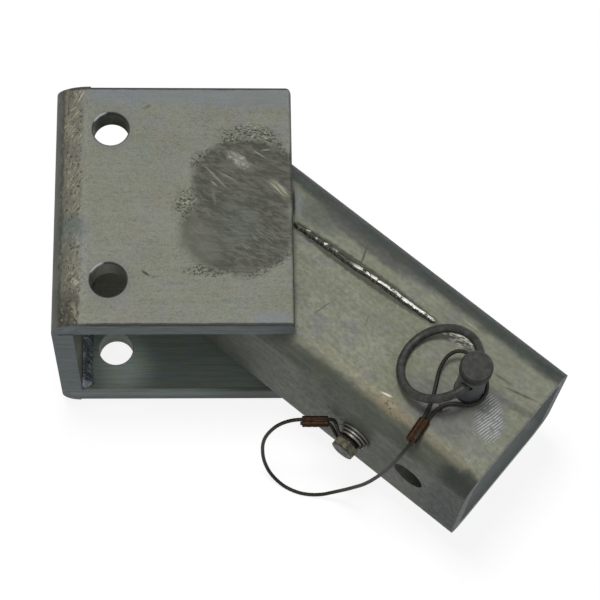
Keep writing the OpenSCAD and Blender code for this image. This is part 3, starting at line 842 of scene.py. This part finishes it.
def carried_frame(path: np.ndarray) -> tuple[np.ndarray, np.ndarray]:
    """Two directions across a path at each point, carried along without twisting.

    Args:
        path: Evenly spaced points.

    Returns:
        Two arrays of unit vectors, square to the path and to each other.
    """
    ahead = np.gradient(path, axis=0)
    ahead /= np.linalg.norm(ahead, axis=1)[:, None]
    first = np.empty_like(path)
    side = np.array([0.3, 0.2, 1.0])
    for i, t in enumerate(ahead):
        side = side - (side @ t) * t
        side = side / np.linalg.norm(side)
        first[i] = side
    return first, np.cross(ahead, first)


def from_tube(points: np.ndarray) -> np.ndarray:
    """Carries points from the tube's own square, in mm, to the part's frame, in metres."""
    return np.stack([MOUTH[0] - points[..., 0], MOUTH[1] - points[..., 1], points[..., 2]], axis=-1) * MM


def from_bracket(points: np.ndarray) -> np.ndarray:
    """Carries points from the bracket's corner, in mm, to the part's frame, in metres."""
    x, y = points[..., 0] - BOLT_INSET[0], points[..., 1] - BOLT_INSET[1]
    c, s = math.cos(TUBE_TURN), math.sin(TUBE_TURN)
    return np.stack([x * c - y * s, x * s + y * c, points[..., 2]], axis=-1) * MM


def waves(at: np.ndarray, sizes: tuple[float, ...], seed: int) -> np.ndarray:
    """Smooth unevenness along a line: a sum of sines of given wavelengths and seeded phases.

    Args:
        at: Places along the line, in mm.
        sizes: Wavelengths in mm.
        seed: Seed of the phases.

    Returns:
        Values from about -1 to 1.
    """
    phase = np.random.default_rng(seed).uniform(0, 2 * math.pi, len(sizes))
    total = sum(np.sin(2 * math.pi * at / w + p) for w, p in zip(sizes, phase))
    return total / len(sizes)


def dress(node: str, finish: Finish) -> None:
    """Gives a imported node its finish.

    Args:
        node: The node's name.
        finish: The finish to make and use.
    """
    material = finish.make()
    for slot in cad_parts[node].material_slots:
        slot.material = material
    LOG.info("node %s wears %s", node, finish.name)


def stand_in(piece: bpy.types.Object, finish: Finish, node: str) -> None:
    """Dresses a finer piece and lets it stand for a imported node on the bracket.

    Args:
        piece: The piece.
        finish: Its finish.
        node: The node that it replaces.
    """
    piece.data.materials.append(finish.make())
    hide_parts(node)
    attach(piece, "bracket")
    LOG.info("piece %s stands for %s", piece.name, node)


@dataclass
class Bracket:
    """The welded plates: two thick plates, the end plate, dressed corner welds and the inner bead."""

    depth: float = 117.475
    plate: float = 12.7
    web: float = 9.525
    leg: float = 5.5
    bead_step: float = 3.1

    def build(self) -> None:
        """Dresses the plates and welds and lays the inner bead."""
        dress("top_plate", GalvanisedPlate())
        dress("bottom_plate", GalvanisedPlate("Galvanised rolled plate, weathered", patch=False))
        dress("end_plate", GalvanisedPlate("Galvanised end plate, weathered", patch=False))
        dress("corner_weld_top", GroundWeld())
        dress("corner_weld_bottom", GroundWeld("Ground weld metal, galvanised, lower corner"))
        stand_in(self.inner_bead(), WeldBead(), "inner_weld")
        for node in ("tube_weld_top", "tube_weld_bottom"):
            dress(node, WeldBead("Weld bead as laid, hidden side"))
        LOG.info("bracket is built")

    def inner_bead(self) -> bpy.types.Object:
        """The fillet in the lower corner.

        Across the bead, the radius from the corner is the leg times 1 plus a ripple; the
        ripple is a sine along the weld, bowed so each wave trails at its toes, and the first
        few millimetres swell into the blob where the weld started.

        Returns:
            The bead's piece.
        """
        along = np.linspace(1.4, self.depth - 1.4, 330)[:, None]
        turn = np.linspace(0, math.pi / 2, 14)[None, :]
        bow = 1.6 * np.cos(2 * turn) ** 2
        ripple = 0.05 * np.sin(2 * math.pi * (along + bow) / self.bead_step)
        blob = 0.16 * np.exp(-((along - 4.2) / 2.6) ** 2)
        sway = 0.05 * waves(along, (17, 29, 41), 3)
        flat = 1 - 0.17 * np.sin(2 * turn) ** 2
        ends = np.sqrt(np.clip(np.minimum(along - 1.2, self.depth - 1.2 - along) / 2.5, 0.02, 1))
        radius = self.leg * 0.9 * (1 + ripple + blob + sway) * flat * ends
        x = self.web + radius * np.cos(turn)
        z = self.plate + radius * np.sin(turn)
        arc = np.stack([x, np.broadcast_to(along, x.shape), z], axis=-1)
        corner = np.stack([np.full_like(along, self.web - 0.1), along, np.full_like(along, self.plate - 0.1)],
                          axis=-1)
        return shell("inner_bead", from_bracket(np.concatenate([arc, corner], axis=1))[:, ::-1])


@dataclass
class ReceiverTube:
    """The square tube and the bead of its long seam."""

    seam: float = 15.6
    drift: float = 3.9
    start: float = 60.0
    stop: float = 139.4
    height: float = 1.0
    width: float = 3.8
    step: float = 2.4

    def build(self) -> None:
        """Dresses the tube and lays the seam's bead."""
        dress("receiver_tube", GalvanisedTube())
        stand_in(self.seam_bead(), SeamBead(), "seam_weld")
        LOG.info("receiver tube is built")

    def seam_bead(self) -> bpy.types.Object:
        """The seam's raised bead.

        Across it, height is H times (1 - v squared) to the 0.75, with v from -1 to 1; H and
        the width vary along it by slow waves, and ripples bowed back at the toes ride on top.
        Its middle drifts evenly from the seam's start to its stop.

        Returns:
            The bead's piece, with its places across and along kept on its points.
        """
        along = np.linspace(self.start, self.stop, 420)[:, None]
        v = np.linspace(-1, 1, 19)[None, :]
        half = self.width / 2 * (0.84 + 0.14 * waves(along, (5.3, 9.1, 23), 7))
        tall = self.height * (0.78 + 0.16 * waves(along, (4.7, 7.9, 19), 11))
        ripple = 0.12 * np.sin(2 * math.pi * (along + 1.3 * v**2) / self.step)
        ends = np.clip(np.minimum(along - self.start, self.stop - along) / 1.6, 0.03, 1) ** 0.5
        rise = tall * (1 - v**2) ** 0.75 * (1 + ripple) * ends
        middle = self.drift * (along - self.start) / (self.stop - self.start) - self.seam
        y = middle + 0.2 * waves(along, (31, 47), 5) + v * half * ends
        z = TUBE_TOP + np.minimum(rise, self.height) - 0.02
        x = np.broadcast_to(along, y.shape)
        top = np.stack([x, y, z], axis=-1)
        under = np.stack([x[:, [-1, 0]], y[:, [-1, 0]], np.full((len(along), 2), TUBE_TOP - 0.15)], axis=-1)
        across = np.broadcast_to(np.append(v.ravel(), [1, -1])[None, :], (len(along), 21))
        marks = {"across": across, "along": np.broadcast_to(along, across.shape)}
        return shell("seam_bead", from_tube(np.concatenate([top, under], axis=1)), marks)


@dataclass
class Anchor:
    """The small bolt, its washers and the lock washer on the tube's side."""

    def build(self) -> None:
        """Dresses the fasteners."""
        dress("anchor_bolt", PlatedSteel("Zinc plated bolt, tarnished", colour="827f68", tarnish="4d4a3c"))
        dress("large_washer", PlatedSteel("Zinc plated washer, large", colour="5c5c56", tarnish="3f3f3a"))
        dress("small_washer", PlatedSteel("Zinc plated washer, small", colour="84837a", tarnish="4c4b44"))
        dress("lock_washer", PlatedSteel("Spring steel lock washer", colour="62615a", tarnish="31302c"))
        LOG.info("anchor is built")


@dataclass
class Lanyard:
    """The wire rope from the anchor bolt to the pin, and its two crimped sleeves."""

    radius: float = 0.9
    strands: int = 6
    lay_mm: float = 11.0
    bolt_foot: tuple[float, float, float] = (59.6, 38.1, 52.8)
    pin_foot: tuple[float, float, float] = (29.2, 0.0, TUBE_TOP)
    to_bolt: list[tuple[float, float, float]] = field(default_factory=lambda: [
        (22.6, 12.7, 1.2), (12.8, 4.4, 1.2), (10.8, 4.4, 0.2), (8.4, 5, -1.5), (5.8, 5.4, -3)])
    from_bolt: list[tuple[float, float, float]] = field(default_factory=lambda: [
        (6, 5.4, 3.4), (8.6, 3.7, 3.9), (11, 2.2, 3), (13.1, 2.3, 1.5), (14, 3, 1.2),
        (23.2, 10.7, 1.2)])
    free: list[tuple[float, float, float]] = field(default_factory=lambda: [
        (26.4, 13.3, 52.5), (28.9, 15.5, 50), (31.4, 17.9, 45.5), (33.2, 20.4, 40),
        (34.2, 22.7, 34), (34.2, 24.3, 28), (33.1, 25.7, 21.5), (31.4, 26.7, 15.5),
        (29.2, 27.3, 10.5), (26.2, 27.7, 6.3), (22.4, 27.7, 3.2), (18, 27.3, 1.4),
        (13.4, 26.3, 1), (8.8, 24.5, 1), (4.6, 22, 1.6), (0.8, 19.3, 3.6), (-2.7, 16.7, 7.6),
        (-5.6, 14.9, 12.2), (-8.3, 13.7, 17.6), (-11.2, 12.5, 24.2), (-14.1, 11.5, 31.4),
        (-16.8, 10.4, 39.5), (-19.4, 8.9, 49), (-21.7, 7.4, 59), (-23.5, 6.2, 68.5),
        (-24.7, 4.9, 76), (-25.5, 3.3, 82.6), (-26.3, 0.9, 87.8)])
    to_pin: list[tuple[float, float, float]] = field(default_factory=lambda: [
        (3.6, 36, 1.7), (4.85, 24.1, 1.7), (5, 20, 1.1), (4.6, 16, 1), (3.2, 12.4, 1.1),
        (0.8, 9.8, 1.4), (-2.2, 8, 1.7), (-4.8, 6.3, 2.1)])
    bight: list[tuple[float, float, float]] = field(default_factory=lambda: [
        (3.8, -8.8, 8.6), (7.8, -9.8, 8.7), (11.4, -9.8, 8.3), (14.2, -8, 7.3),
        (15.8, -4.8, 5.7), (15.8, -0.8, 4), (14.7, 3.2, 2.5), (12.8, 7, 1.4), (10.6, 11.5, 1),
        (8.8, 16, 1), (7.6, 20.2, 1.2), (6.75, 24.3, 1.7), (5.4, 37, 1.7)])

    def route(self) -> np.ndarray:
        """The rope's points in the tube's own square, in mm, from its dead end by the bolt.

        Returns:
            Array of points by 3.
        """
        bolt, pin = np.array(self.bolt_foot), np.array(self.pin_foot)
        ground = bolt * (1, 1, 0)
        a = np.radians(np.arange(-72, -289, -24))
        eye = bolt + np.stack([4.275 * np.cos(a), np.full_like(a, 5.4), 4.275 * np.sin(a)], axis=-1)
        b = np.arange(150, 271, 24)
        c = np.radians(b)
        ring = pin + np.stack([7.7 * np.cos(c), 7.7 * np.sin(c), 1 + 7.5 * ((b - 66) / 204) ** 2], axis=-1)
        return np.vstack([bolt + self.to_bolt, eye, bolt + self.from_bolt, ground + self.free,
                          pin + self.to_pin, ring, pin + self.bight])

    def rope(self, path: np.ndarray) -> bpy.types.Object:
        """The twisted rope.

        Round the path, radius is r times (0.84 + 0.16 times the size of the cosine of half
        the strand count times the angle), turned once in each lay's length.

        Args:
            path: Evenly spaced points in metres.

        Returns:
            The rope's piece, with a crown attribute from 0 in a groove to 1 on a strand.
        """
        first, second = carried_frame(path)
        run = np.arange(len(path)) * np.linalg.norm(path[1] - path[0]) / MM
        angle = np.linspace(0, 2 * math.pi, 36, endpoint=False)[None, :]
        crown = np.abs(np.cos(self.strands / 2 * (angle - 2 * math.pi * run[:, None] / self.lay_mm)))
        radius = self.radius * MM * (0.84 + 0.16 * crown)
        ring = (np.cos(angle)[..., None] * first[:, None] + np.sin(angle)[..., None] * second[:, None])
        return shell("lanyard_wire_rope", path[:, None] + radius[..., None] * ring, {"crown": crown})

    def sleeve(self, name: str, mouth: tuple[float, float, float], turn: float) -> bpy.types.Object:
        """A crimped sleeve.

        Its section is a flattened oval with a shallow waist between the two strands; along
        it, press marks pinch the oval by a few hundredths, and both rims turn in.

        Args:
            name: The piece's name.
            mouth: Middle of its first end, in the tube's square, in mm.
            turn: Its direction about Z, in degrees.

        Returns:
            The sleeve's piece, with its lengthwise ridges kept on its points.
        """
        at = np.linspace(0, 12, 61)[:, None]
        a = np.linspace(0, 2 * math.pi, 64, endpoint=False)[None, :]
        half_w, half_t = 2.65, 1.65
        c, s = np.cos(a), np.sin(a)
        wide = np.sign(c) * np.abs(c) ** 0.72 * half_w
        thick = np.sign(s) * np.abs(s) ** 0.80 * half_t * (1 - 0.12 * np.exp(-(wide / 0.6) ** 2))
        press = 1 - 0.045 * np.maximum(0, np.cos(2 * math.pi * (at - 1.5) / 3.0)) ** 2
        rim = np.clip(np.minimum(at, 12 - at) / 0.35, 0.0, 1)
        shrink = (0.90 + 0.10 * np.sqrt(1 - (1 - rim) ** 2)) * press
        ridge = np.exp(-((np.abs(wide) - 1.25) / 0.28) ** 2) * np.ones_like(at)
        x, y, z = np.broadcast_arrays(at, wide * shrink, thick * shrink)
        r = math.radians(turn)
        turned = np.stack([mouth[0] + x * math.cos(r) - y * math.sin(r),
                           mouth[1] + x * math.sin(r) + y * math.cos(r), mouth[2] + z], axis=-1)
        return shell(name, from_tube(turned), {"ridge": ridge})

    def build(self) -> None:
        path = smooth_path(from_tube(self.route()), 0.45 * MM)
        rope = self.rope(path)
        stand_in(rope, WireRope(), "lanyard_rope")
        sleeves = [self.sleeve("bolt_end_sleeve", (73.0, 41.8, 54.0), 40.2),
                   self.sleeve("pin_end_sleeve", (35.0, 24.2, 90.6), 96.0)]
        for sleeve, node in zip(sleeves, ("bolt_ferrule", "pin_ferrule")):
            stand_in(sleeve, Copper(), node)


@dataclass
class PinAndRing:
    """The drop pin and its pull ring."""

    def build(self) -> None:
        """Dresses the pin and the ring."""
        dress("hitch_pin", DarkSteel("Turned steel pin, dark", colour="23241f", rubbed="32332d",
                                     streaks="44484c", grain=(2.5, 2.5, 0.3), shank="767c80"))
        dress("pull_ring", DarkSteel("Drawn steel ring, dark", grain=(3, 3, 3)))
        LOG.info("pin and ring are built")


@dataclass(frozen=True)
class Studio:
    """Floor, world, lamps and the camera that the photograph was taken with."""

    lens: float = 122.916
    eye: tuple[float, float, float] = (0.25324, -0.23321, 0.94615)
    right: tuple[float, float, float] = (0.77156, 0.63462, 0.04456)
    up: tuple[float, float, float] = (-0.60370, 0.70827, 0.36593)
    back: tuple[float, float, float] = (0.20066, -0.30924, 0.92957)

    def camera(self) -> None:
        """Sets the camera from its measured place and directions."""
        data = bpy.data.cameras.new("camera")
        data.lens, data.sensor_width = self.lens, 36.0
        data.clip_start, data.clip_end = 0.05, 20.0
        obj = bpy.data.objects.new("camera", data)
        turn = Matrix((self.right, self.up, self.back)).transposed().to_quaternion().to_matrix()
        obj.matrix_world = Matrix.Translation(self.eye) @ turn.to_4x4()
        bpy.context.scene.collection.objects.link(obj)
        bpy.context.scene.camera = obj

    def seen(self, tree: Tree) -> Socket:
        """1 for rays from the camera, a mirror or glass, 0 for rays that only light things."""
        path = tree.nodes.new("ShaderNodeLightPath")
        shown = add(tree, "Math", {0: path.outputs["Is Camera Ray"], 1: path.outputs["Is Glossy Ray"]},
                    operation="ADD")
        return add(tree, "Math", {0: shown, 1: path.outputs["Is Transmission Ray"]}, operation="ADD",
                   use_clamp=True)

    def world(self) -> None:
        """A pale world: white to the eye, dimmer as light on the part."""
        world = bpy.data.worlds.new("pale studio")
        bpy.context.scene.world = world
        world.use_nodes = True
        tree = world.node_tree
        tree.nodes.clear()
        strength = add(tree, "MapRange", {0: self.seen(tree), 3: 0.20, 4: 1.0})
        light = add(tree, "Background", {0: srgb("ffffff"), 1: strength})
        add(tree, "OutputWorld", {0: light})

    def floor(self) -> None:
        """A white floor that keeps a soft shadow: part diffuse, part its own light to the eye."""
        mesh = bpy.data.meshes.new("floor")
        corners = np.array([(-6, -6, -0.0002), (6, -6, -0.0002), (6, 6, -0.0002), (-6, 6, -0.0002)])
        mesh.from_pydata(corners.tolist(), [], [(0, 1, 2, 3)])
        floor = bpy.data.objects.new("floor", mesh)
        bpy.context.scene.collection.objects.link(floor)
        material = bpy.data.materials.new("Matt white floor")
        material.use_nodes = True
        tree = material.node_tree
        tree.nodes.clear()
        body = add(tree, "BsdfDiffuse", {0: srgb("8c8c8c")})
        bright = add(tree, "MapRange", {0: self.seen(tree), 3: 0.0, 4: 0.86})
        glow = add(tree, "Emission", {0: srgb("ffffff"), 1: bright})
        add(tree, "OutputMaterial", {0: add(tree, "AddShader", {0: body, 1: glow})})
        mesh.materials.append(material)

    def lamp(self, name: str, at: tuple[float, float, float], size: float, power: float) -> None:
        """A square soft lamp aimed at the part.

        Args:
            name: The lamp's name.
            at: Its place in metres.
            size: Side of the square, in metres.
            power: Power in watts.
        """
        data = bpy.data.lights.new(name, "AREA")
        data.shape, data.size, data.energy = "SQUARE", size, power
        obj = bpy.data.objects.new(name, data)
        obj.location = at
        aim = Vector((0.06, 0.04, 0.05)) - Vector(at)
        obj.rotation_euler = aim.to_track_quat("-Z", "Y").to_euler()
        bpy.context.scene.collection.objects.link(obj)

    def build(self) -> None:
        """Sets camera, world, floor and lamps."""
        self.camera()
        self.world()
        self.floor()
        self.lamp("overhead", (-0.16, 0.10, 1.55), 0.36, 9.5)
        self.lamp("fill", (0.7, -0.9, 1.0), 0.8, 1.0)
        bpy.context.scene.view_settings.view_transform = "Standard"
        LOG.info("studio is set")


def main() -> None:
    """Builds the studio and each sub-assembly in order."""
    logging.basicConfig(level=logging.INFO, format="%(name)s: %(message)s")
    Studio().build()
    Lanyard().build()
    Bracket().build()
    ReceiverTube().build()
    Anchor().build()
    PinAndRing().build()
    LOG.info("boxes are kept")


if __name__ == "__main__":
    main()
